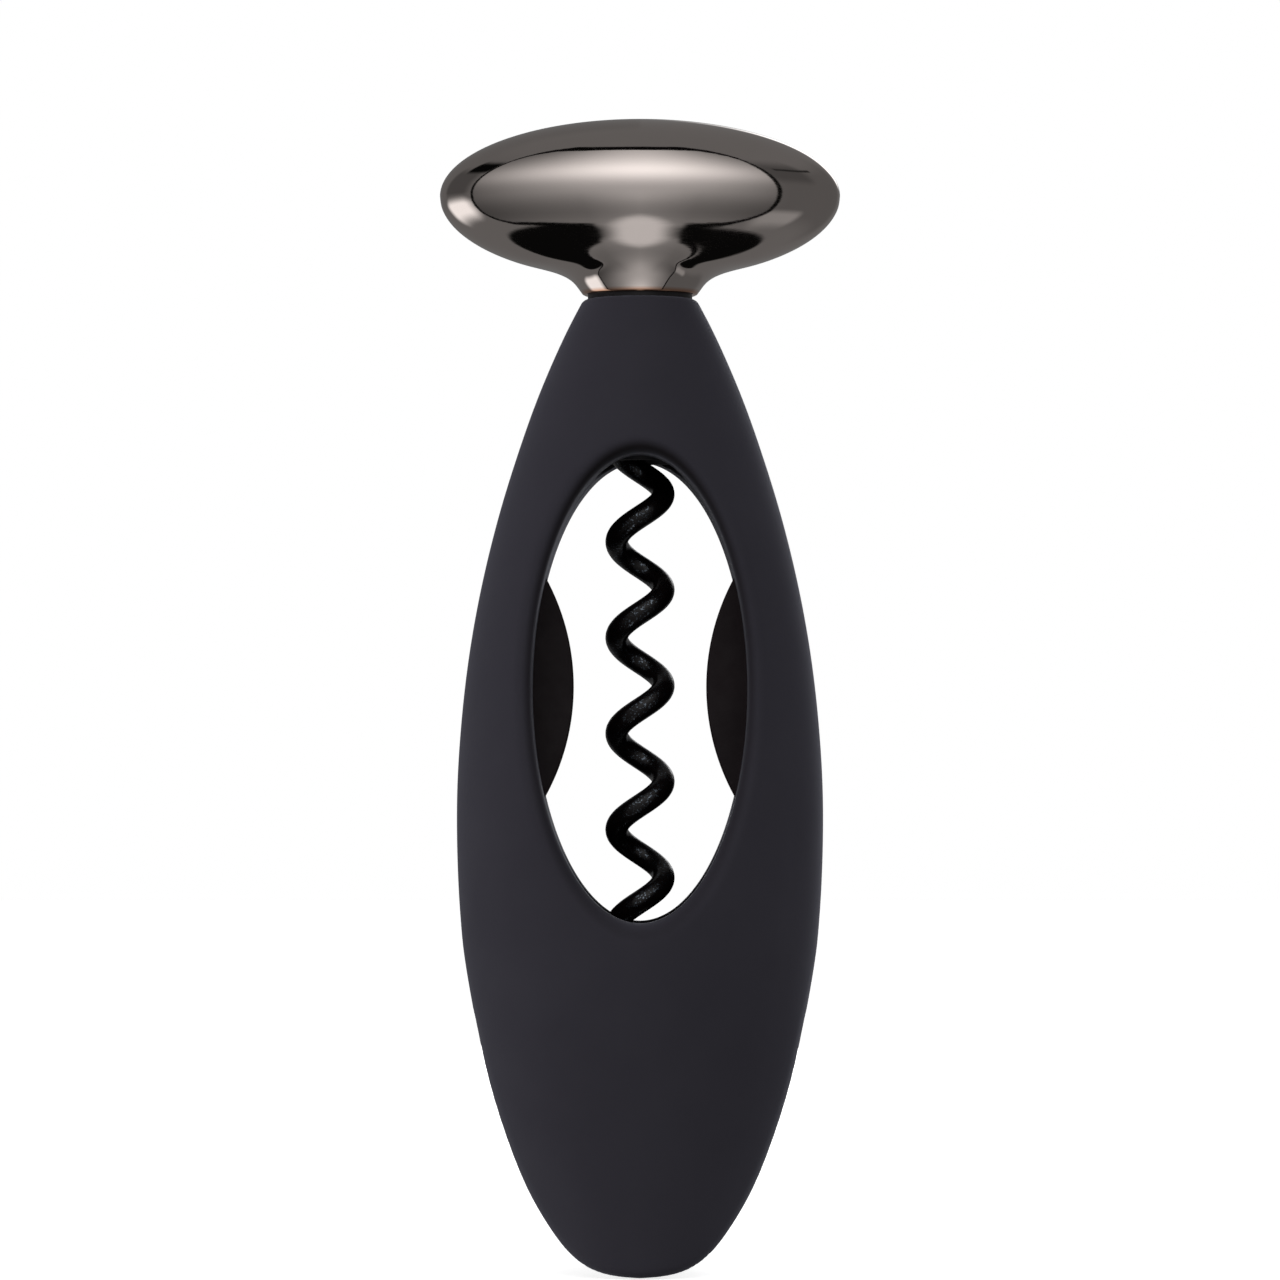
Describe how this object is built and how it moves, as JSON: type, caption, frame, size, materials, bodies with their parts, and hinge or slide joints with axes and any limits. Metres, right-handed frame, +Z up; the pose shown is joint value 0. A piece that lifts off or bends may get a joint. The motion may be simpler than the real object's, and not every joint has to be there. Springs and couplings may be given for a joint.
{
  "type": "corkscrew",
  "caption": "Self-pulling corkscrew: long egg-shaped soft-touch body with an oval window, ellipsoid metal turning handle and a coated wire worm.",
  "frame": {"origin": "on the worm axis at the lower tips of the two tongues", "axes": "+Z up the worm axis towards the handle, X across the handle and the wide side of the body, Y front to back with the front at -Y"},
  "size_m": [0.0575, 0.04, 0.165],
  "materials": {
    "soft_body": "soft-touch, matte charcoal",
    "bush_plastic": "satin black acetal",
    "grip_plastic": "raw moulded, brown-black",
    "washer_plastic": "black, slippery",
    "gunmetal": "polished gunmetal plating",
    "coated_steel": "black non-stick coating, slightly pebbled",
    "steel": "plain turned steel"
  },
  "bodies": {
    "body": {"front_shell": "soft_body", "back_shell": "soft_body", "guide_bush": "bush_plastic", "cork_grip_left": "grip_plastic", "cork_grip_right": "grip_plastic", "shell_dowels": "steel"},
    "washer": {"thrust_washer": "washer_plastic"},
    "handle": {"handle_casting": "gunmetal", "worm_hub": "steel", "hub_screw": "steel", "worm": "coated_steel"}
  },
  "joints": [
    {"name": "handle_lift", "type": "slide", "parent": "body", "child": "washer", "axis": [0, 0, 1], "range_m": [0, 0.12]},
    {"name": "handle_spin", "type": "hinge", "parent": "washer", "child": "handle", "pos_m": [0, 0, 0.14], "axis": [0, 0, 1], "continuous": true}
  ]
}
